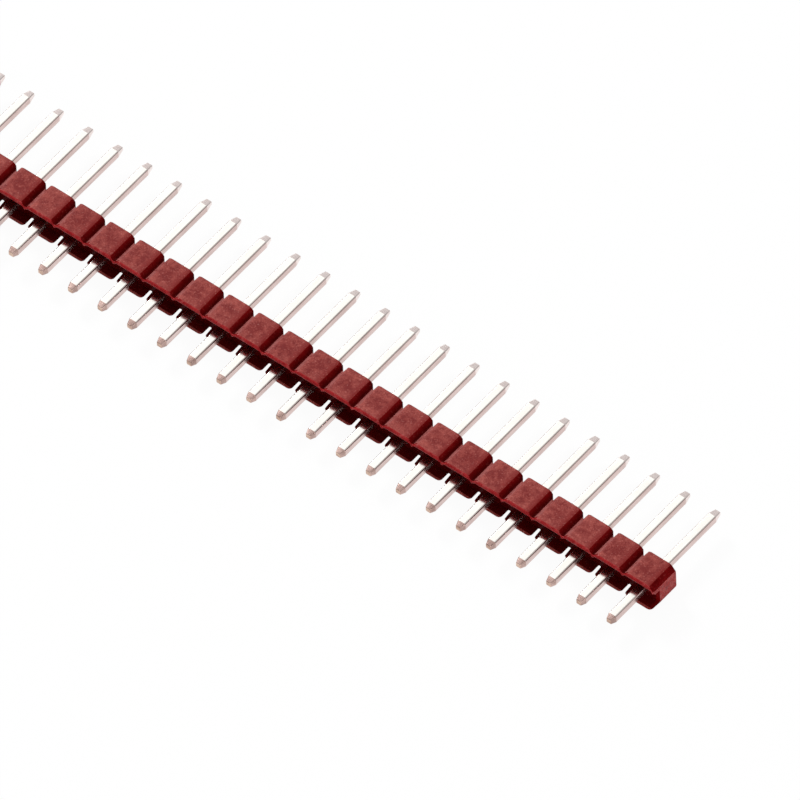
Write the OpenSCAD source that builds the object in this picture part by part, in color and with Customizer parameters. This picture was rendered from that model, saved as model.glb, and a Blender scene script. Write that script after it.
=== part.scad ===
// Break-away pin header strip, lying on the flat side of its housing.
// X runs along the row, Y along the pins with the mating posts at +Y, Z is up.

/* [Strip] */
// Number of pin positions
pin_count = 40; // [2:1:50]
// Spacing from one pin to the next
pitch = 2.54; // [2:0.01:3.2]

/* [Housing] */
// Thickness of the housing, from the flat it lies on to the flat on top
housing_height = 2.5; // [2.1:0.05:3.2]
// Length of the housing along the pins
housing_depth = 2.5; // [2:0.02:4]
// Width of the V groove between two positions, on the top and on the bottom
groove_width = 0.7; // [0.2:0.02:0.9]
// Depth of the V groove between two positions
groove_depth = 0.5; // [0.2:0.02:0.6]
// Width of the snap notch on the mating side of each joint
notch_width = 0.16; // [0.08:0.02:0.3]
// Depth of the snap notch along the pins
notch_depth = 0.24; // [0.1:0.02:0.5]

/* [Solder side] */
// Depth of the channel that runs the whole strip around the solder tails
channel_depth = 0.78; // [0.4:0.02:1]
// Thickness of the two walls of the channel at its floor
wall_root = 0.42; // [0.35:0.01:0.5]
// Thickness of the two walls of the channel at its mouth
wall_tip = 0.27; // [0.2:0.01:0.32]
// Chamfer on the outer edge of each wall
wall_chamfer = 0.15; // [0.02:0.01:0.19]
// Gap that parts the lower walls of two neighbouring positions
wall_gap = 0.26; // [0.12:0.02:0.4]
// Thickness that the upper wall keeps under each V groove
joint_web = 0.3; // [0.2:0.02:0.4]

/* [Pins] */
// Side of the square pin
pin_size = 0.64; // [0.5:0.01:0.8]
// Radius of the long edges of a pin
pin_radius = 0.08; // [0.03:0.01:0.12]
// Free length of the mating posts
mating_length = 6; // [3:0.05:15]
// Free length of the solder tails
solder_length = 3; // [2:0.05:6]
// Length of the taper at the end of a mating post
mating_taper = 0.4; // [0.2:0.05:0.8]
// Length of the taper at the end of a solder tail
solder_taper = 0.45; // [0.2:0.05:0.8]
// Side of the small square left at both ends of a pin
tip_size = 0.34; // [0.2:0.01:0.44]
// Gap around a pin in its hole, zero because the pins are pressed in
pin_clearance = 0; // [0:0.01:0.05]

/* [Hidden] */
strip_length = pin_count * pitch;
pin_length = solder_length + housing_depth + mating_length;
solder_end = -pin_length / 2;
seat_y = solder_end + solder_length;
back_y = seat_y + housing_depth;
pin_z = housing_height / 2;
over = 0.5;
$fn = 32;

function pin_name(i) = str("pin_", i < 10 ? "0" : "", i);
function position_x(i) = (i - (pin_count + 1) / 2) * pitch;
function joint_x(i) = position_x(i) + pitch / 2;

// Upper outline of one position, from its left groove to its right groove
function crown(i) = [
    [joint_x(i - 1), housing_height - groove_depth],
    [joint_x(i - 1) + groove_width / 2, housing_height],
    [joint_x(i) - groove_width / 2, housing_height]
];

// Whole upper outline, which ends at the foot of the last groove
function crown_line() = concat(
    [for (i = [1:pin_count]) each crown(i)],
    [[joint_x(pin_count), housing_height - groove_depth]]
);

// Outline of the strip seen along the pins
module strip_outline() {
    top = crown_line();
    last = len(top) - 1;
    bottom = [for (i = [0:last]) [top[last - i][0], housing_height - top[last - i][1]]];
    polygon(concat(top, bottom));
}

// Half-outline and its mirror image above, joined into one closed shape
module mirrored_up(lower) {
    last = len(lower) - 1;
    upper = [for (i = [0:last]) [lower[last - i][0], housing_height - lower[last - i][1]]];
    polygon(concat(lower, upper));
}

// Section of the housing seen along the row, without its channel
module side_section() {
    mirrored_up([[housing_depth, 0], [wall_chamfer, 0], [0, wall_chamfer]]);
}

// Section of the channel seen along the row, widest at its mouth
module channel_section() {
    mirrored_up([[channel_depth, wall_root], [0, wall_tip], [-over, wall_tip]]);
}

// V that follows one groove from below and leaves the web between them
module web_outline() {
    drop = groove_depth + joint_web;
    half = drop * groove_width / 2 / groove_depth;
    polygon([[-half, housing_height], [0, housing_height - drop], [half, housing_height]]);
}

// Space around the solder tails, open along the whole strip
module channel() {
    difference() {
        translate([-strip_length / 2 - over, seat_y, 0])
            rotate([90, 0, 90])
                linear_extrude(strip_length + 2 * over)
                    channel_section();
        for (i = [0:pin_count])
            translate([joint_x(i), seat_y + channel_depth + over, 0])
                rotate([90, 0, 0])
                    linear_extrude(channel_depth + 3 * over)
                        web_outline();
    }
}

// Square with rounded corners
module rounded_square(side, radius) {
    flat = side - 2 * radius;
    square([side, flat], center = true);
    square([flat, side], center = true);
    for (x = [-1, 1], y = [-1, 1])
        translate([x * flat / 2, y * flat / 2])
            circle(radius);
}

// Hole for one pin, right through the housing
module pin_hole() {
    section = pin_size + 2 * pin_clearance;
    translate([0, back_y + over, pin_z])
        rotate([90, 0, 0])
            linear_extrude(housing_depth + 2 * over)
                rounded_square(section, pin_radius);
}

// Cuts at one joint: the snap notch and the gap between the lower walls
module joint_cuts() {
    translate([-notch_width / 2, back_y - notch_depth, -over])
        cube([notch_width, notch_depth + over, housing_height + 2 * over]);
    translate([-wall_gap / 2, seat_y - over, -over])
        cube([wall_gap, channel_depth + over, pin_z + over]);
}

module housing() {
    color("brown")
        difference() {
            intersection() {
                translate([0, back_y, 0])
                    rotate([90, 0, 0])
                        linear_extrude(housing_depth)
                            strip_outline();
                translate([-strip_length / 2, seat_y, 0])
                    rotate([90, 0, 90])
                        linear_extrude(strip_length)
                            side_section();
            }
            channel();
            for (i = [1:pin_count])
                translate([position_x(i), 0, 0])
                    pin_hole();
            for (i = [1:pin_count - 1])
                translate([joint_x(i), 0, 0])
                    joint_cuts();
        }
}

// Outline of a pin seen from one side, tapered at both ends
module pin_outline() {
    edge = [
        [0, tip_size / 2],
        [solder_taper, pin_size / 2],
        [pin_length - mating_taper, pin_size / 2],
        [pin_length, tip_size / 2]
    ];
    last = len(edge) - 1;
    polygon(concat(edge, [for (i = [0:last]) [edge[last - i][0], -edge[last - i][1]]]));
}

module pin() {
    color("gainsboro")
        translate([0, solder_end, pin_z])
            intersection() {
                translate([0, pin_length, 0])
                    rotate([90, 0, 0])
                        linear_extrude(pin_length)
                            rounded_square(pin_size, pin_radius);
                translate([-pin_size / 2, 0, 0])
                    rotate([90, 0, 90])
                        linear_extrude(pin_size)
                            pin_outline();
                translate([0, 0, -pin_size / 2])
                    rotate([0, 0, 90])
                        linear_extrude(pin_size)
                            pin_outline();
            }
}

housing();
for (i = [1:pin_count])
    translate([position_x(i), 0, 0]) pin();
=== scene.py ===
"""Break-away pin header strip: a ribbed plastic housing and a row of tin-plated square pins."""
import math

import bmesh
import bpy
from mathutils import Matrix, Vector


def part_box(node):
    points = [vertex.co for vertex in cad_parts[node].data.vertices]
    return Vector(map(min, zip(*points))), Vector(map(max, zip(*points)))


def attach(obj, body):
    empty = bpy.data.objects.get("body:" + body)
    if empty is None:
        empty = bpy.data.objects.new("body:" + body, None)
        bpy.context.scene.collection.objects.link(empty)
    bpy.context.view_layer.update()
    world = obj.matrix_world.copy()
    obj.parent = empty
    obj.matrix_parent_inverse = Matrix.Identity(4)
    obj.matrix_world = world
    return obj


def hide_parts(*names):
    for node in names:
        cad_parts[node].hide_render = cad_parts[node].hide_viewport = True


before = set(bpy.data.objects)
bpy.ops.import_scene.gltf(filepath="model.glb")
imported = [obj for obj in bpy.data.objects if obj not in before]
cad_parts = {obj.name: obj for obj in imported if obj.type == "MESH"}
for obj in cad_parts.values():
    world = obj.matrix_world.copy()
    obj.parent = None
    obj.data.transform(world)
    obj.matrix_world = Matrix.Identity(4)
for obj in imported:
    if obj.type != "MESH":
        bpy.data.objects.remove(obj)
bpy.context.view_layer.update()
MM = 0.001

# Sizes of the strip, read from the frame
HOUSING_LOW, HOUSING_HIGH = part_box("housing")
PIN_NAMES = sorted(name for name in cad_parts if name.startswith("pin_"))
PIN_LOW, PIN_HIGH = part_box(PIN_NAMES[0])
PIN_COUNT = len(PIN_NAMES)
PITCH = (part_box(PIN_NAMES[-1])[0].x - PIN_LOW.x) / (PIN_COUNT - 1)
PIN_X = (PIN_LOW.x + PIN_HIGH.x) / 2
PIN_Z = (PIN_LOW.z + PIN_HIGH.z) / 2
PIN_SIZE = PIN_HIGH.x - PIN_LOW.x
HEIGHT = HOUSING_HIGH.z - HOUSING_LOW.z
SEAT_Y = HOUSING_LOW.y
BACK_Y = HOUSING_HIGH.y
TOP_Z = HOUSING_HIGH.z
BOTTOM_Z = HOUSING_LOW.z
JOINT_X = PIN_X - PITCH / 2

# Grooves between the positions, and the snap notch at the mating end of each
GROOVE_WIDTH = 0.7 * MM
GROOVE_DEPTH = 0.43 * MM
NOTCH_WIDTH = 0.5 * MM
NOTCH_TIP = 0.08 * MM
NOTCH_DEPTH = 0.5 * MM
NOTCH_SHIFT = 0.07 * MM
NOTCH_LEAN = 0.16 * MM

# Dam that closes the solder end of each groove on top, and where the left flank behind it begins
# to take its painted light
DAM_DEPTH = 0.24 * MM
DAM_RUN = 0.45 * MM
LIT_FLANK_FROM = 0.26 * MM

# Channel around the solder tails, and the web that it leaves under each groove on top
CHANNEL_DEPTH = 0.78 * MM
WALL_ROOT = 0.42 * MM
WALL_TIP = 0.27 * MM
WALL_GAP = 0.26 * MM
WEB_DEPTH = 0.8 * MM
WEB_WIDTH = 1.12 * MM
WEB_THICKNESS_IN_FRONT = 0.2 * MM
WEB_RUN = 0.35 * MM

# Roundings of the housing
FRONT_ROUNDING = 0.16 * MM
RIB_ROUNDING = 0.2 * MM
GROOVE_ROUNDING = 0.15 * MM
BACK_ROUNDING = 0.09 * MM
MOUTH_ROUNDING = 0.1 * MM
CORNER_ROUNDING = 0.14 * MM
EDGE_ROUNDING = 0.035 * MM

# Details of the pins
PIN_ROUNDING = 0.12 * MM
MATING_TAPER = 0.6 * MM
SOLDER_TAPER = 0.4 * MM
MATING_TIP_WIDTH = 0.44 * MM
MATING_TIP_HEIGHT = 0.28 * MM
SOLDER_TIP = 0.4 * MM
TIP_ROUNDING = 0.03 * MM

# Steps that a rounding is made of, from the finest to the coarsest
PIN_STEPS = 6
RIB_STEPS = 4
SMALL_STEPS = 3
EDGE_STEPS = 2

# Angles in degrees: edges rounded from one on, and shaded smooth up to another. On a pin that
# lies between the steps of its rounded edges and the slope of its tapers.
SHARP_FROM = 28
HOUSING_SMOOTH_UP_TO = 50
PIN_SMOOTH_UP_TO = 15.8
FLAT_WITHIN = 0.5

# How squarely a face has to look along an axis, 1 being straight
STRAIGHT = 0.99
LEVEL = 0.92
CUT_SQUARE = 0.9
SIDEWAYS = 0.55
SLOPED = 0.4
TURNED = 0.1
# On the housing, from where on a face leans to the left, and up to where it may lean to the right
LEFTWARDS = -0.2
RIGHTWARDS = 0.35

# Axes, as the places of their numbers
X_AXIS = 0
Z_AXIS = 2

# Working allowances
OVER = 0.5 * MM
NEAR = 0.002 * MM
CUT_NEAR = NEAR / 100


# ---------------------------------------------------------------- modelling tools

def deselect():
    if bpy.context.object and bpy.context.object.mode != "OBJECT":
        bpy.ops.object.mode_set(mode="OBJECT")
    bpy.ops.object.select_all(action="DESELECT")


def make_active(piece):
    deselect()
    piece.select_set(True)
    bpy.context.view_layer.objects.active = piece


def block(name, low, high):
    """A box between two corners."""
    deselect()
    low, high = Vector(low), Vector(high)
    bpy.ops.mesh.primitive_cube_add(size=1, location=(low + high) / 2, scale=high - low)
    piece = bpy.context.object
    piece.name = name
    bpy.ops.object.transform_apply(location=True, rotation=True, scale=True)
    return piece


def edit(piece):
    """Opens a piece in edit mode with nothing selected."""
    make_active(piece)
    bpy.ops.object.mode_set(mode="EDIT")
    bpy.ops.mesh.select_mode(type="FACE")
    bpy.ops.mesh.select_all(action="DESELECT")


def leave():
    bpy.ops.object.mode_set(mode="OBJECT")


def pick_points(piece, test):
    """Selects, in edit mode, the points whose place passes the test."""
    bpy.ops.mesh.select_mode(type="VERT")
    mesh = bmesh.from_edit_mesh(piece.data)
    for point in mesh.verts:
        point.select_set(test(point.co))
    mesh.select_flush_mode()
    bmesh.update_edit_mesh(piece.data)


def pick_edges(piece, test):
    """Selects, in edit mode, the edges whose two ends pass the test."""
    bpy.ops.mesh.select_mode(type="EDGE")
    mesh = bmesh.from_edit_mesh(piece.data)
    for edge in mesh.edges:
        edge.select_set(test(edge.verts[0].co, edge.verts[1].co))
    bmesh.update_edit_mesh(piece.data)


def pick_faces(piece, test):
    """Selects, in edit mode, the faces whose middle and outward normal pass the test."""
    bpy.ops.mesh.select_mode(type="FACE")
    mesh = bmesh.from_edit_mesh(piece.data)
    mesh.normal_update()
    for face in mesh.faces:
        face.select_set(test(face.calc_center_median(), face.normal))
    bmesh.update_edit_mesh(piece.data)


def round_picked(radius, steps):
    """Rounds the selected edges in edit mode."""
    bpy.ops.mesh.bevel(offset=radius, segments=steps, affect="EDGES")


def resize_picked(factors, centre):
    """Scales what is selected in edit mode about a centre."""
    bpy.ops.transform.resize(value=factors, center_override=centre)


def mark_section(y):
    """Cuts a ring of edges across a piece, in edit mode, at one place along the pins."""
    bpy.ops.mesh.select_all(action="SELECT")
    bpy.ops.mesh.bisect(plane_co=(0, y, 0), plane_no=(0, 1, 0), threshold=CUT_NEAR)


def cut_off(point, normal):
    """Cuts away, in edit mode, all that lies beyond a plane, and closes the cut."""
    bpy.ops.mesh.select_all(action="SELECT")
    bpy.ops.mesh.bisect(plane_co=point, plane_no=normal, use_fill=True, clear_outer=True,
                        threshold=CUT_NEAR)


def flare(piece, axis, half, radius, centre):
    """Widens a cutter towards the solder side in a quarter circle, so its edge comes out round."""
    turns = [math.radians(90) * step / SMALL_STEPS for step in range(SMALL_STEPS + 1)]
    sections = [SEAT_Y + radius * (1 - math.sin(turn)) for turn in turns]
    for y in sections[:-1]:
        mark_section(y)
    for turn, y in zip(turns, sections):
        last = turn == turns[-1]
        pick_points(piece, lambda place: abs(place.y - y) < NEAR or (last and place.y < y))
        factors = [1, 1, 1]
        factors[axis] = (half + radius * (1 - math.cos(turn))) / half
        resize_picked(factors, centre)


def apply_modifier(piece, kind, **settings):
    """Gives a piece a modifier and applies it."""
    make_active(piece)
    modifier = piece.modifiers.new(kind.lower(), kind)
    for key, value in settings.items():
        setattr(modifier, key, value)
    bpy.ops.object.modifier_apply(modifier=modifier.name)


def repeat(piece, count, merge=False):
    """Repeats a piece at the pitch of the pins."""
    apply_modifier(
        piece, "ARRAY", count=count, use_relative_offset=False, use_constant_offset=True,
        constant_offset_displace=(PITCH, 0, 0), use_merge_vertices=merge, merge_threshold=NEAR,
    )


def subtract(piece, cutter):
    """Cuts one piece out of another and throws the cutter away."""
    apply_modifier(piece, "BOOLEAN", operation="DIFFERENCE", solver="EXACT", object=cutter)
    bpy.data.objects.remove(cutter)


def soften(piece, width, smooth_up_to, **settings):
    """Rounds all sharp edges, and shades the piece smooth over the ones that are still flatter."""
    apply_modifier(
        piece, "BEVEL", width=width, segments=EDGE_STEPS, limit_method="ANGLE",
        angle_limit=math.radians(SHARP_FROM), **settings
    )
    make_active(piece)
    bpy.ops.object.shade_smooth_by_angle(angle=math.radians(smooth_up_to))
    apply_modifier(piece, "WEIGHTED_NORMAL", weight=100, keep_sharp=True)


def give_slot(piece, index, test):
    """Gives the faces that pass the test the material of one slot."""
    edit(piece)
    pick_faces(piece, test)
    piece.active_material_index = index
    bpy.ops.object.material_slot_assign()
    leave()


def everywhere(middle, normal):
    return True


def square_rod(name, y_low, y_high):
    """A square rod at the first pin's place, with its long edges rounded."""
    half = PIN_SIZE / 2
    rod = block(name, (PIN_X - half, y_low, PIN_Z - half), (PIN_X + half, y_high, PIN_Z + half))
    edit(rod)
    pick_edges(rod, lambda a, b: abs(a.y - b.y) > (y_high - y_low) / 2)
    round_picked(PIN_ROUNDING, PIN_STEPS)
    leave()
    return rod


# ---------------------------------------------------------------- housing

# Places of the finishes in the housing's list
TEXTURED, POLISHED, SNAPPED, EDGE, LIT_FLANK = range(5)


def on_joint_plane(*places):
    """Tells whether all the places lie where one position meets the next."""
    return all(abs(abs(place.x - PIN_X) - PITCH / 2) < NEAR for place in places)


def on_front_edge(a, b):
    """Tells the edges of one rib on the solder side."""
    return max(a.y, b.y) < SEAT_Y + NEAR and not on_joint_plane(a, b)


def on_back_edge(a, b):
    """Tells the edges of one rib on the mating side."""
    return min(a.y, b.y) > BACK_Y - NEAR and not on_joint_plane(a, b)


def on_rib_edge(a, b):
    """Tells the edges of one rib that run along the grooves."""
    along = abs(a.x - b.x) < NEAR and abs(a.z - b.z) < NEAR
    on_flat = all(abs(abs(place.z - PIN_Z) - HEIGHT / 2) < NEAR for place in (a, b))
    return along and on_flat and not on_joint_plane(a, b)


def on_groove_bottom(a, b):
    """Tells the edges along the bottoms of the grooves between two positions."""
    def low(place):
        steps = (place.x - JOINT_X) / PITCH
        inner = abs(place.x) < HOUSING_HIGH.x - PITCH / 2
        deep = abs(place.z - PIN_Z) > HEIGHT / 2 - GROOVE_DEPTH - NEAR
        return inner and deep and abs(steps - round(steps)) * PITCH < NEAR

    return low(a) and low(b) and abs(a.z - b.z) < GROOVE_DEPTH


def strip_body():
    """The bare ribbed strip: one position cut to shape, repeated and closed at both ends."""
    body = block("ribbed_housing", (JOINT_X, SEAT_Y, BOTTOM_Z), (JOINT_X + PITCH, BACK_Y, TOP_Z))
    edit(body)
    for x_side in (-1, 1):
        for z_side in (-1, 1):
            foot = (PIN_X + x_side * PITCH / 2, 0, PIN_Z + z_side * (HEIGHT / 2 - GROOVE_DEPTH))
            cut_off(foot, (x_side * GROOVE_DEPTH, 0, z_side * GROOVE_WIDTH / 2))
    mark_section(SEAT_Y + LIT_FLANK_FROM)
    mark_section(SEAT_Y + DAM_RUN)
    pick_points(body, lambda place: place.y < SEAT_Y + NEAR and place.z > PIN_Z
                and on_joint_plane(place))
    bpy.ops.transform.translate(value=(0, 0, GROOVE_DEPTH - DAM_DEPTH))
    pick_edges(body, on_rib_edge)
    round_picked(RIB_ROUNDING, RIB_STEPS)
    pick_edges(body, on_front_edge)
    round_picked(FRONT_ROUNDING, RIB_STEPS)
    pick_edges(body, on_back_edge)
    round_picked(BACK_ROUNDING, SMALL_STEPS)
    pick_faces(body, lambda middle, normal: abs(normal.x) > STRAIGHT)
    bpy.ops.mesh.delete(type="ONLY_FACE")
    leave()
    repeat(body, PIN_COUNT, merge=True)
    edit(body)
    bpy.ops.mesh.select_mode(type="EDGE")
    bpy.ops.mesh.select_non_manifold()
    bpy.ops.mesh.edge_face_add()
    pick_edges(body, on_groove_bottom)
    round_picked(GROOVE_ROUNDING, SMALL_STEPS)
    leave()
    return body


def web_keeper():
    """What the channel spares under each groove on top: a wedge that thins towards the front."""
    web = block("web_cutter", (JOINT_X - WEB_WIDTH / 2, SEAT_Y - 2 * OVER, TOP_Z - WEB_DEPTH),
                (JOINT_X + WEB_WIDTH / 2, SEAT_Y + CHANNEL_DEPTH + OVER, TOP_Z))
    edit(web)
    for side in (-1, 1):
        cut_off((JOINT_X, 0, TOP_Z - WEB_DEPTH), (side * WEB_DEPTH, 0, -WEB_WIDTH / 2))
    mark_section(SEAT_Y + WEB_RUN)
    mark_section(SEAT_Y)
    pick_points(web, lambda place: place.y < SEAT_Y + NEAR)
    thinning = (DAM_DEPTH + WEB_THICKNESS_IN_FRONT) / WEB_DEPTH
    resize_picked((thinning, 1, thinning), (JOINT_X, 0, TOP_Z))
    leave()
    repeat(web, PIN_COUNT + 1)
    return web


def channel_cutter():
    """The space around the solder tails, with its walls thinner and rounded at the mouth."""
    low = (HOUSING_LOW.x - OVER, SEAT_Y, BOTTOM_Z + WALL_TIP)
    high = (HOUSING_HIGH.x + OVER, SEAT_Y + CHANNEL_DEPTH, TOP_Z - WALL_TIP)
    cutter = block("channel_cutter", low, high)
    edit(cutter)
    pick_faces(cutter, lambda middle, normal: normal.y > STRAIGHT)
    narrowing = (HEIGHT - 2 * WALL_ROOT) / (HEIGHT - 2 * WALL_TIP)
    resize_picked((1, 1, narrowing), (0, 0, PIN_Z))
    pick_faces(cutter, lambda middle, normal: normal.y < -STRAIGHT)
    bpy.ops.mesh.extrude_region_move(TRANSFORM_OT_translate={"value": (0, -OVER, 0)})
    flare(cutter, Z_AXIS, HEIGHT / 2 - WALL_TIP, MOUTH_ROUNDING, (0, 0, PIN_Z))
    leave()
    subtract(cutter, web_keeper())
    return cutter


def notch_cutter():
    """The snap notch on the mating side of every joint: a blunt V that leans to one side."""
    x = JOINT_X + PITCH + NOTCH_SHIFT
    notch = block("notch_cutter", (x - NOTCH_WIDTH / 2, BACK_Y - NOTCH_DEPTH, BOTTOM_Z - OVER),
                  (x + NOTCH_WIDTH / 2, BACK_Y + OVER, TOP_Z + OVER))
    edit(notch)
    mark_section(BACK_Y)
    pick_points(notch, lambda place: place.y < BACK_Y - NEAR)
    resize_picked((NOTCH_TIP / NOTCH_WIDTH, 1, 1), (x, 0, 0))
    bpy.ops.transform.translate(value=(NOTCH_LEAN, 0, 0))
    leave()
    repeat(notch, PIN_COUNT - 1)
    return notch


def gap_cutter():
    """The gap that parts the lower walls of the channel at every joint."""
    x = JOINT_X + PITCH
    gap = block("gap_cutter", (x - WALL_GAP / 2, SEAT_Y - OVER, BOTTOM_Z - OVER),
                (x + WALL_GAP / 2, SEAT_Y + CHANNEL_DEPTH, PIN_Z))
    edit(gap)
    flare(gap, X_AXIS, WALL_GAP / 2, CORNER_ROUNDING, (x, 0, 0))
    leave()
    repeat(gap, PIN_COUNT - 1)
    return gap


def hole_cutter():
    """The holes that the pins are pressed into."""
    hole = square_rod("hole_cutter", SEAT_Y - OVER, BACK_Y + OVER)
    repeat(hole, PIN_COUNT)
    return hole


def clean(piece):
    """Closes the slivers that cutting leaves open, and joins faces that lie in one plane."""
    edit(piece)
    bpy.ops.mesh.select_all(action="SELECT")
    bpy.ops.mesh.fill_holes(sides=4)
    bpy.ops.mesh.select_all(action="SELECT")
    bpy.ops.mesh.dissolve_limited(angle_limit=math.radians(FLAT_WITHIN))
    leave()


def on_lip(middle, normal):
    """Tells the rounded faces around the mouth of the channel."""
    return middle.y < SEAT_Y + FRONT_ROUNDING and normal.y < -TURNED


def on_lower_lip(middle, normal):
    return on_lip(middle, normal) and middle.z < PIN_Z


def on_worn_flank(middle, normal):
    """Tells the flanks of the grooves that face left, behind the dams."""
    in_groove = abs(middle.z - PIN_Z) > HEIGHT / 2 - GROOVE_DEPTH
    sloped = SLOPED < abs(normal.z) < LEVEL and normal.x < LEFTWARDS
    return in_groove and sloped and middle.y > SEAT_Y + LIT_FLANK_FROM


def on_flat(middle, normal):
    """Tells the flats on top and below, with the start of their rounding."""
    outermost = abs(middle.z - PIN_Z) > HEIGHT / 2 - RIB_ROUNDING / 4
    level = abs(normal.z) > LEVEL and normal.x < RIGHTWARDS
    return outermost and level and normal.y > -TURNED


def on_broken_end(middle, normal):
    return abs(middle.x) > HOUSING_HIGH.x - NEAR


def press_into_box(body):
    """Presses points that the rounding left a hair outside the box back into its faces."""
    edit(body)
    pick_points(body, lambda place: place.z > TOP_Z)
    resize_picked((1, 1, 0), (0, 0, TOP_Z))
    for end_x in (HOUSING_LOW.x, HOUSING_HIGH.x):
        pick_points(body, lambda place: abs(place.x) > HOUSING_HIGH.x and place.x * end_x > 0)
        resize_picked((0, 1, 1), (end_x, 0, 0))
    leave()


def housing():
    """The ribbed plastic housing, cut to shape and given its finishes."""
    body = strip_body()
    for cutter in (channel_cutter, notch_cutter, gap_cutter, hole_cutter):
        subtract(body, cutter())
    clean(body)
    for finish in (textured_red(), polished_red(), snapped_red(), edge_red(), lit_flank_red()):
        body.data.materials.append(finish)
    give_slot(body, POLISHED, everywhere)
    give_slot(body, EDGE, on_lip)
    # The lower lip takes the paler textured finish: painted light on the band that faces the front
    # lamp
    give_slot(body, TEXTURED, on_lower_lip)
    # The left-facing groove flanks take a paler finish as painted light
    give_slot(body, LIT_FLANK, on_worn_flank)
    give_slot(body, TEXTURED, on_flat)
    give_slot(body, SNAPPED, on_broken_end)
    soften(body, EDGE_ROUNDING, HOUSING_SMOOTH_UP_TO, material=EDGE)
    press_into_box(body)
    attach(body, "root")
    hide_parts("housing")


# ---------------------------------------------------------------- pins

# Places of the finishes in a pin's list
PLATED, SHEARED_AND_SHADED, MATING_END, SOLDER_END, CUT = range(5)


def draw_in(pin, end_y, taper, width, height):
    """Tapers one end of a pin, in edit mode, to a smaller square."""
    mark_section(end_y + taper)
    pick_faces(pin, lambda middle, normal: abs(middle.y - end_y) < NEAR)
    resize_picked((width / PIN_SIZE, 1, height / PIN_SIZE), (PIN_X, end_y, PIN_Z))


def first_pin():
    """One pin: a square rod with both ends drawn in, and a finish for each kind of face."""
    pin = square_rod("pin_model", PIN_LOW.y, PIN_HIGH.y)
    edit(pin)
    draw_in(pin, PIN_LOW.y, SOLDER_TAPER, SOLDER_TIP, SOLDER_TIP)
    draw_in(pin, PIN_HIGH.y, -MATING_TAPER, MATING_TIP_WIDTH, MATING_TIP_HEIGHT)
    leave()
    for finish in (tin_plating(), sheared_brass_and_shade(), mating_tip(), solder_tip(), bare_brass()):
        pin.data.materials.append(finish)
    give_slot(pin, PLATED, everywhere)
    # The sides take a darker, pinker finish: bare brass, and painted shade of the shadowed floor
    # they mirror
    give_slot(pin, SHEARED_AND_SHADED, lambda middle, normal: abs(normal.x) > SIDEWAYS)
    give_slot(pin, MATING_END, lambda middle, normal: normal.y > TURNED)
    give_slot(pin, SOLDER_END, lambda middle, normal: normal.y < -TURNED)
    give_slot(pin, CUT, lambda middle, normal: abs(normal.y) > CUT_SQUARE)
    soften(pin, TIP_ROUNDING, PIN_SMOOTH_UP_TO)
    return pin


def pins():
    """The row of pins, each a copy of the first with its own mesh."""
    model = first_pin()
    for index, name in enumerate(PIN_NAMES):
        pin = model.copy()
        pin.data = model.data.copy()
        pin.name = "tinned_" + name
        bpy.context.collection.objects.link(pin)
        pin.data.transform(Matrix.Translation((index * PITCH, 0, 0)))
        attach(pin, "root")
        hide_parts(name)
    bpy.data.objects.remove(model)


# ---------------------------------------------------------------- finishes

# How much of the mottling is broad clouds, the rest being grit
CLOUD_SHARE = 0.65
# How far a position darkens towards its middle, and how far the positions differ from each other
MIDDLE_TONE = 0.45
OWN_TONE = 0.25
# Where painted shade starts in a groove, measured down from the flats
PAINTED_SHADE_FROM = 0.05 * MM
MIDDLE_Y = (SEAT_Y + BACK_Y) / 2
# Pale patches, from wear and, on the left-facing flanks, as painted sheen: their size, where they
# start with none, how far the amount spreads them, and how soft they end
PATCH_SIZE = 0.45 * MM
PATCH_START = 0.72
PATCH_REACH = 0.4
PATCH_SOFTNESS = 0.12
# Metal: width of a drawn line, how far the lines run along the pin, and what each pattern adds
LINE_WIDTH = 0.05 * MM
LINE_STRETCH = (1, 0.03, 1)
BLOTCH_STRETCH = (0.1, 0.03, 0.1)
BLOTCH_TONE = 0.55
LINE_TONE = 0.25
GRAIN_TONE = 0.2


def shade(red, green, blue):
    """A colour given as it looks on a screen, each part from 0 to 255."""
    parts = [part / 255 for part in (red, green, blue)]
    levels = [((part + 0.055) / 1.055) ** 2.4 if part > 0.04 else part / 12.92 for part in parts]
    return (*levels, 1)


def add(tree, kind, inputs, **settings):
    """Adds a node; each input is a plain value or the output of another node."""
    node = tree.nodes.new(kind)
    for key, value in settings.items():
        setattr(node, key, value)
    for key, value in inputs.items():
        if isinstance(value, bpy.types.NodeSocket):
            tree.links.new(value, node.inputs[key])
        else:
            node.inputs[key].default_value = value
    return node


def reckon(tree, operation, first, second=0.0):
    """One sum of two values."""
    return add(tree, "ShaderNodeMath", {0: first, 1: second}, operation=operation).outputs[0]


def blend(tree, share, first, second):
    """A colour between two colours."""
    return add(tree, "ShaderNodeMix", {0: share, 6: first, 7: second}, data_type="RGBA").outputs[2]


def tint(tree, mask, share, colour, other):
    """Moves a colour towards another one under a mask, by no more than a share."""
    return blend(tree, reckon(tree, "MULTIPLY", mask, share), colour, other)


def spread(tree, value, low=0.0, high=1.0, to_low=0.0, to_high=1.0):
    """Stretches a stretch of values over another one."""
    limits = {"Value": value, "From Min": low, "From Max": high,
              "To Min": to_low, "To Max": to_high}
    return add(tree, "ShaderNodeMapRange", limits).outputs[0]


def noise(tree, place, scale, detail, roughness=0.5, distortion=0.0):
    """Cloudy noise, finer as its scale grows."""
    inputs = {"Vector": place, "Scale": scale, "Detail": detail, "Roughness": roughness,
              "Distortion": distortion}
    return add(tree, "ShaderNodeTexNoise", inputs).outputs["Fac"]


def new_group(name, inputs, outputs):
    """An empty node group, with its input and output nodes."""
    group = bpy.data.node_groups.new(name, "ShaderNodeTree")
    for label, kind in inputs.items():
        group.interface.new_socket(label, in_out="INPUT", socket_type="NodeSocket" + kind)
    for label in outputs:
        group.interface.new_socket(label, in_out="OUTPUT", socket_type="NodeSocketFloat")
    given = group.nodes.new("NodeGroupInput").outputs
    result = group.nodes.new("NodeGroupOutput").inputs
    return group, given, result


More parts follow.
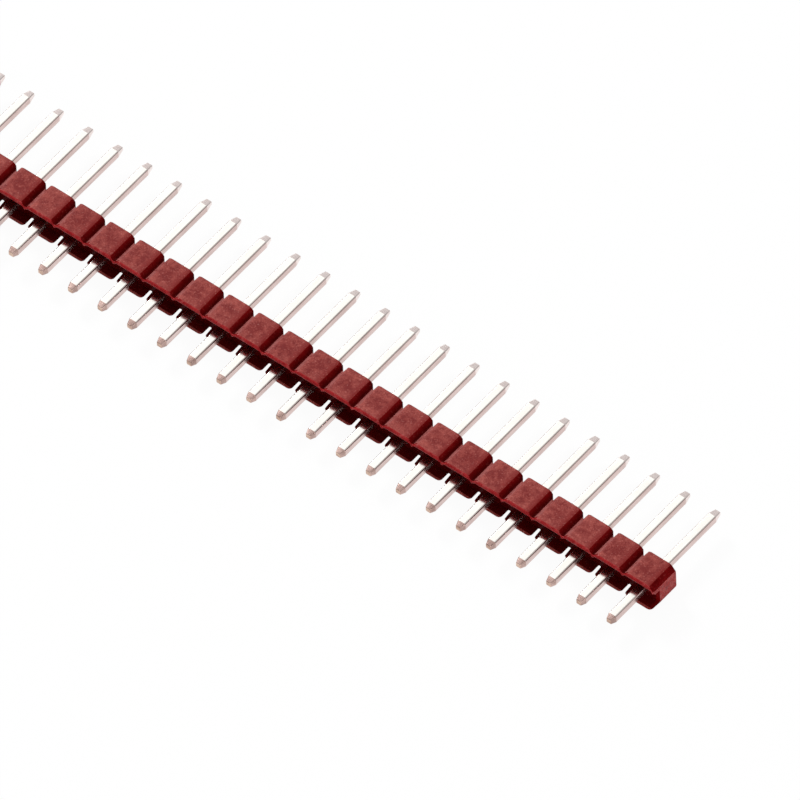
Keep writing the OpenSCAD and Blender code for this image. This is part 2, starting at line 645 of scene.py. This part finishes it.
def surface_grain():
    """Mottling: soft cloudy tone, fine grit, and small pale scuffs."""
    group, given, result = new_group(
        "surface_grain", {"Place": "Vector", "Cloud": "Float", "Grit": "Float"},
        ("Tone", "Height", "Scuffs"))
    clouds = noise(group, given["Place"], given["Cloud"], detail=3.0, roughness=0.6)
    grit = noise(group, given["Place"], given["Grit"], detail=2.0, roughness=0.6)
    scuffs = noise(group, given["Place"], given["Grit"], detail=3.0, distortion=0.5)
    part = reckon(group, "MULTIPLY", clouds, CLOUD_SHARE)
    both = reckon(group, "ADD", part, reckon(group, "MULTIPLY", grit, 1 - CLOUD_SHARE))
    group.links.new(spread(group, both, low=0.36, high=0.64), result["Tone"])
    group.links.new(grit, result["Height"])
    group.links.new(spread(group, scuffs, low=0.6, high=0.7), result["Scuffs"])
    return group


def position_tone():
    """Where a place lies on its position: its middle, the right edge of its flat and its recesses
    (both for painted shade), and a tone of its own.
    """
    group, given, result = new_group("position_tone", {"Place": "Vector"},
                                     ("Middle", "Side", "Recess_Shade", "Own"))
    place = add(group, "ShaderNodeSeparateXYZ", {0: given["Place"]}).outputs
    steps = reckon(group, "DIVIDE", reckon(group, "SUBTRACT", place["X"], JOINT_X), PITCH)
    across = reckon(group, "SUBTRACT", reckon(group, "FRACT", steps), 0.5)
    along = reckon(group, "DIVIDE", reckon(group, "SUBTRACT", place["Y"], MIDDLE_Y), PITCH)
    offset = add(group, "ShaderNodeCombineXYZ", {"X": across, "Y": along}).outputs[0]
    reach = add(group, "ShaderNodeVectorMath", {0: offset}, operation="LENGTH")
    group.links.new(spread(group, reach.outputs["Value"], low=0.5, high=0.08), result["Middle"])
    # Painted shade along the right edge of each flat, where its rounding turns from the light
    group.links.new(spread(group, across, low=0.19, high=0.25), result["Side"])
    # Painted shade in the grooves and all through the channel, left off at the broken ends and the
    # mating side
    rise = reckon(group, "ABSOLUTE", reckon(group, "SUBTRACT", place["Z"], PIN_Z))
    deep = spread(group, rise, HEIGHT / 2 - PAINTED_SHADE_FROM, HEIGHT / 2 - GROOVE_DEPTH)
    end = HOUSING_HIGH.x - GROOVE_WIDTH / 2
    inner = spread(group, reckon(group, "ABSOLUTE", place["X"]), end, end - NEAR)
    before = spread(group, place["Y"], BACK_Y - BACK_ROUNDING, BACK_Y - BACK_ROUNDING - NEAR)
    deep = reckon(group, "MULTIPLY", deep, reckon(group, "MULTIPLY", inner, before))
    group.links.new(deep, result["Recess_Shade"])
    own = add(group, "ShaderNodeTexWhiteNoise", {"W": reckon(group, "FLOOR", steps)},
              noise_dimensions="1D")
    group.links.new(own.outputs["Value"], result["Own"])
    return group


def drawn_lines():
    """Fine lines along the pins, left by rolling and stamping, and slow blotches."""
    group, given, result = new_group("drawn_lines", {"Place": "Vector", "Fineness": "Float"},
                                     ("Lines", "Blotches"))
    narrow = add(group, "ShaderNodeMapping", {"Vector": given["Place"], "Scale": LINE_STRETCH})
    wide = add(group, "ShaderNodeMapping", {"Vector": given["Place"], "Scale": BLOTCH_STRETCH})
    lines = noise(group, narrow.outputs[0], given["Fineness"], detail=3.0)
    blotches = noise(group, wide.outputs[0], given["Fineness"], detail=3.0)
    group.links.new(spread(group, lines, low=0.3, high=0.7), result["Lines"])
    group.links.new(spread(group, blotches, low=0.35, high=0.65), result["Blotches"])
    return group


def rubbing_and_sheen():
    """Pale patches: wear from handling, and on the left-facing groove flanks painted sheen."""
    group, given, result = new_group("rubbing_and_sheen", {"Place": "Vector", "Amount": "Float"}, ("Mask",))
    patches = noise(group, given["Place"], 1 / PATCH_SIZE, detail=4.0, roughness=0.65)
    shift = reckon(group, "MULTIPLY", given["Amount"], PATCH_REACH)
    start = reckon(group, "SUBTRACT", PATCH_START, shift)
    end = reckon(group, "ADD", start, PATCH_SOFTNESS)
    group.links.new(spread(group, patches, start, end), result["Mask"])
    return group


def effect(tree, maker, inputs):
    """Places a shared effect in a material; its group is made the first time."""
    group = bpy.data.node_groups.get(maker.__name__) or maker()
    return add(tree, "ShaderNodeGroup", inputs, node_tree=group).outputs


def mottled(tree, place, cloud, grit):
    """Mottling with clouds and grit of the given sizes."""
    return effect(tree, surface_grain, {"Place": place, "Cloud": 1 / cloud, "Grit": 1 / grit})


def worn(tree, place, amount):
    """The mask of the pale patches, wear and painted sheen, from nothing at 0 to most of the
    surface at 1.
    """
    return effect(tree, rubbing_and_sheen, {"Place": place, "Amount": amount})["Mask"]


def own_tone(tree, tone, cell):
    """Makes each position a little lighter or darker than its neighbours."""
    return reckon(tree, "ADD", tone, reckon(tree, "MULTIPLY", cell["Own"], OWN_TONE))


def new_finish(name, metallic, specular):
    """A material with its shader, and the place on the object that its patterns follow."""
    material = bpy.data.materials.new(name)
    material.use_nodes = True
    tree = material.node_tree
    shader = tree.nodes["Principled BSDF"].inputs
    shader["Metallic"].default_value = metallic
    shader["Specular IOR Level"].default_value = specular
    return material, tree, shader, tree.nodes.new("ShaderNodeTexCoord").outputs["Object"]


def dress(tree, shader, colour, roughness, height, depth):
    """Gives a shader its colour and roughness, and lets a height pattern stand out."""
    tree.links.new(colour, shader["Base Color"])
    tree.links.new(roughness, shader["Roughness"])
    bump = add(tree, "ShaderNodeBump", {"Height": height, "Distance": depth, "Strength": 1.0})
    tree.links.new(bump.outputs["Normal"], shader["Normal"])


def textured_red():
    """The matt outer faces, moulded against a spark-eroded tool; their pale, dusty look is the
    texture's sheen painted into the colour, and a painted shade darkens the right edge of each
    flat.
    """
    material, tree, shader, place = new_finish("textured_red", metallic=0.0, specular=0.15)
    grain = mottled(tree, place, cloud=0.5 * MM, grit=0.11 * MM)
    cell = effect(tree, position_tone, {"Place": place})
    darker = reckon(tree, "MULTIPLY", cell["Middle"], MIDDLE_TONE)
    tone = own_tone(tree, reckon(tree, "SUBTRACT", grain["Tone"], darker), cell)
    # The greyish pink of this range is the texture's sheen, painted into the colour
    colour = blend(tree, tone, shade(116, 26, 24), shade(160, 76, 69))
    # The right edge of each flat: a smoother, redder rounding, and painted shade where it turns
    # from the light
    colour = tint(tree, cell["Side"], 0.75, colour, shade(124, 30, 28))
    colour = tint(tree, grain["Scuffs"], 0.3, colour, shade(196, 130, 122))
    roughness = spread(tree, grain["Tone"], to_low=0.55, to_high=0.75)
    dress(tree, shader, colour, roughness, grain["Height"], depth=0.012 * MM)
    return material


def polished_red():
    """The smooth faces: groove flanks, channel and mating side, with painted shade deep in the
    grooves and the channel.
    """
    material, tree, shader, place = new_finish("polished_red", metallic=0.0, specular=0.015)
    grain = mottled(tree, place, cloud=0.8 * MM, grit=0.15 * MM)
    cell = effect(tree, position_tone, {"Place": place})
    tone = own_tone(tree, grain["Tone"], cell)
    colour = blend(tree, tone, shade(84, 2, 4), shade(112, 8, 10))
    # Painted shade: darker at the bottoms of the grooves and in the channel
    colour = tint(tree, cell["Recess_Shade"], 0.8, colour, shade(62, 2, 3))
    colour = tint(tree, grain["Scuffs"], 0.1, colour, shade(180, 100, 96))
    roughness = spread(tree, grain["Tone"], to_low=0.35, to_high=0.5)
    dress(tree, shader, colour, roughness, grain["Height"], depth=0.002 * MM)
    return material


def snapped_red():
    """The broken ends, where the strip was snapped off a longer one."""
    material, tree, shader, place = new_finish("snapped_red", metallic=0.0, specular=0.2)
    grain = mottled(tree, place, cloud=0.35 * MM, grit=0.09 * MM)
    colour = blend(tree, grain["Tone"], shade(128, 34, 36), shade(160, 52, 50))
    colour = tint(tree, worn(tree, place, 0.6), 0.35, colour, shade(190, 104, 100))
    roughness = spread(tree, grain["Tone"], to_low=0.5, to_high=0.8)
    height = reckon(tree, "ADD", grain["Tone"], grain["Height"])
    dress(tree, shader, colour, roughness, height, depth=0.012 * MM)
    return material


def edge_red():
    """The rounded edges: smooth, and pale in places from handling."""
    material, tree, shader, place = new_finish("edge_red", metallic=0.0, specular=0.08)
    grain = mottled(tree, place, cloud=0.4 * MM, grit=0.1 * MM)
    mask = worn(tree, place, 0.5)
    colour = blend(tree, grain["Tone"], shade(132, 20, 24), shade(158, 38, 40))
    colour = tint(tree, mask, 0.35, colour, shade(176, 90, 88))
    roughness = spread(tree, mask, to_low=0.3, to_high=0.5)
    dress(tree, shader, colour, roughness, grain["Height"], depth=0.003 * MM)
    return material


def lit_flank_red():
    """Groove flanks that face left: paler than the flanks that face right as painted light, with
    pale patches of painted sheen.
    """
    material, tree, shader, place = new_finish("lit_flank_red", metallic=0.0, specular=0.12)
    grain = mottled(tree, place, cloud=0.6 * MM, grit=0.1 * MM)
    mask = worn(tree, place, 0.9)
    # Paler than the polished flanks as painted light, and pale patches as painted sheen
    colour = blend(tree, grain["Tone"], shade(112, 42, 40), shade(138, 66, 63))
    colour = tint(tree, mask, 0.4, colour, shade(168, 104, 100))
    roughness = spread(tree, mask, to_low=0.3, to_high=0.5)
    dress(tree, shader, colour, roughness, grain["Height"], depth=0.004 * MM)
    return material


def metal(name, dark, bright, rough, smooth, depth):
    """A metal with fine lines along the pin and slow blotches, rougher where it is dark."""
    material, tree, shader, place = new_finish(name, metallic=1.0, specular=0.5)
    drawn = effect(tree, drawn_lines, {"Place": place, "Fineness": 1 / LINE_WIDTH})
    grain = mottled(tree, place, cloud=0.3 * MM, grit=0.06 * MM)
    tone = reckon(tree, "ADD", reckon(tree, "MULTIPLY", drawn["Blotches"], BLOTCH_TONE),
                  reckon(tree, "MULTIPLY", drawn["Lines"], LINE_TONE))
    tone = reckon(tree, "ADD", tone, reckon(tree, "MULTIPLY", grain["Tone"], GRAIN_TONE))
    colour = blend(tree, tone, (*dark, 1), (*bright, 1))
    roughness = spread(tree, tone, to_low=rough, to_high=smooth)
    height = reckon(tree, "ADD", drawn["Lines"], grain["Height"])
    dress(tree, shader, colour, roughness, height, depth)
    return material


def tin_plating():
    """Bright tin on the rolled faces of the pins."""
    return metal("tin_plating", dark=(0.69, 0.665, 0.625), bright=(0.76, 0.735, 0.695),
                 rough=0.2, smooth=0.12, depth=0.0006 * MM)


def sheared_brass_and_shade():
    """The stamped sides of the pins, where the bare metal shows through a thin plating, and darker
    than the rolled faces as painted shade of the shadowed floor they mirror.
    """
    return metal("sheared_brass_and_shade", dark=(0.58, 0.43, 0.40), bright=(0.76, 0.6, 0.57),
                 rough=0.3, smooth=0.2, depth=0.0015 * MM)


def mating_tip():
    """The drawn-in ends of the mating posts, with thin plating."""
    return metal("mating_tip", dark=(0.78, 0.67, 0.64), bright=(0.98, 0.87, 0.84),
                 rough=0.35, smooth=0.25, depth=0.002 * MM)


def solder_tip():
    """The drawn-in ends of the solder tails, with the plating wearing thin over the brass; their
    strong dark-to-bright mottling is painted reflection, standing in for what a rounded tip
    mirrors.
    """
    return metal("solder_tip", dark=(0.3, 0.19, 0.165), bright=(0.68, 0.49, 0.44),
                 rough=0.4, smooth=0.32, depth=0.003 * MM)


def bare_brass():
    """The cut ends of the pins."""
    return metal("bare_brass", dark=(0.4, 0.24, 0.18), bright=(0.8, 0.6, 0.48),
                 rough=0.45, smooth=0.3, depth=0.004 * MM)


# ---------------------------------------------------------------- studio

CAMERA_AT = Vector((799.6, -878.8, 1471.5)) * MM
CAMERA_AIM = Vector((27.0, 0.34, 1.25)) * MM
CAMERA_ROLL = math.radians(3.04)
CAMERA_LENS = 1281.3
CAMERA_SENSOR = 36
NEAREST_SEEN = 0.1
FARTHEST_SEEN = 10

FLOOR_SIZE = 20
FLOOR_WHITE = (0.9, 0.9, 0.9, 1)
FLOOR_GLOW = 0.95

# Each lamp: the way to it, the width of its front and its power in watts
LAMPS = {
    "softbox": ((-0.66, 0.42, 0.62), 1.0, 2.3),
    "key_lamp": ((-0.70, 0.30, 0.55), 0.25, 9.9),
    "fill_lamp": ((0.78, -0.56, 0.28), 0.5, 6.0),
}
LAMP_DISTANCE = 1.2
# The room: the way to its bright part, its levels from the far side to there, and what metal shows
BRIGHT_WAY = Vector((-0.25, 0.30, 0.92))
WORLD_LEVELS = ((0.3, 0.18), (0.66, 0.18), (0.75, 0.33), (0.83, 0.55), (0.92, 0.8), (1.0, 0.7))
SEEN_IN_METAL = 0.36


def camera():
    bpy.ops.object.camera_add(location=CAMERA_AT)
    eye = bpy.context.object
    eye.data.lens = CAMERA_LENS
    eye.data.sensor_width = CAMERA_SENSOR
    eye.data.clip_start = NEAREST_SEEN
    eye.data.clip_end = FARTHEST_SEEN
    look = (CAMERA_AIM - CAMERA_AT).to_track_quat("-Z", "Y").to_matrix()
    eye.rotation_euler = (look @ Matrix.Rotation(-CAMERA_ROLL, 3, "Z")).to_euler()
    bpy.context.scene.camera = eye


def white_floor():
    """A matt white floor that stays white to the camera and keeps a faint shadow of the strip."""
    material = bpy.data.materials.new("white_floor")
    material.use_nodes = True
    tree = material.node_tree
    tree.nodes.clear()
    matt = add(tree, "ShaderNodeBsdfDiffuse", {"Color": FLOOR_WHITE})
    glow = add(tree, "ShaderNodeEmission", {})
    rays = add(tree, "ShaderNodeLightPath", {}).outputs
    seen = reckon(tree, "MAXIMUM", rays["Is Camera Ray"], rays["Is Glossy Ray"])
    share = reckon(tree, "MULTIPLY", seen, FLOOR_GLOW)
    mix = add(tree, "ShaderNodeMixShader", {0: share, 1: matt.outputs[0], 2: glow.outputs[0]})
    add(tree, "ShaderNodeOutputMaterial", {"Surface": mix.outputs[0]})
    return material


def floor():
    deselect()
    bpy.ops.mesh.primitive_plane_add(size=FLOOR_SIZE, location=(0, 0, 0))
    plane = bpy.context.object
    plane.name = "floor"
    plane.data.materials.append(white_floor())


def lamps():
    """Three soft lamps, each turned to face the strip."""
    for name, (way, width, power) in LAMPS.items():
        way = Vector(way).normalized()
        bpy.ops.object.light_add(type="AREA", location=way * LAMP_DISTANCE)
        lamp = bpy.context.object
        lamp.name = name
        lamp.data.size = width
        lamp.data.energy = power
        lamp.rotation_euler = way.to_track_quat("Z", "Y").to_euler()


def room():
    """A room that is bright on one side and overhead, and dark on the other."""
    world = bpy.data.worlds.new("studio")
    bpy.context.scene.world = world
    world.use_nodes = True
    tree = world.node_tree
    way = tree.nodes.new("ShaderNodeTexCoord").outputs["Generated"]
    facing = add(tree, "ShaderNodeVectorMath", {0: way, 1: BRIGHT_WAY}, operation="DOT_PRODUCT")
    place = spread(tree, facing.outputs["Value"], low=-1)
    glow = add(tree, "ShaderNodeValToRGB", {"Fac": place})
    stops = glow.color_ramp.elements
    for place, level in WORLD_LEVELS[1:-1]:
        stops.new(place)
    for stop, (place, level) in zip(stops, WORLD_LEVELS):
        stop.position = place
        stop.color = (level, level, level, 1)
    rays = tree.nodes.new("ShaderNodeLightPath").outputs
    mirrored = reckon(tree, "MULTIPLY", rays["Is Glossy Ray"], SEEN_IN_METAL)
    level = reckon(tree, "MAXIMUM", glow.outputs["Color"], mirrored)
    tree.links.new(level, tree.nodes["Background"].inputs["Color"])


camera()
housing()
pins()
floor()
lamps()
room()
bpy.context.scene.view_settings.view_transform = "Standard"
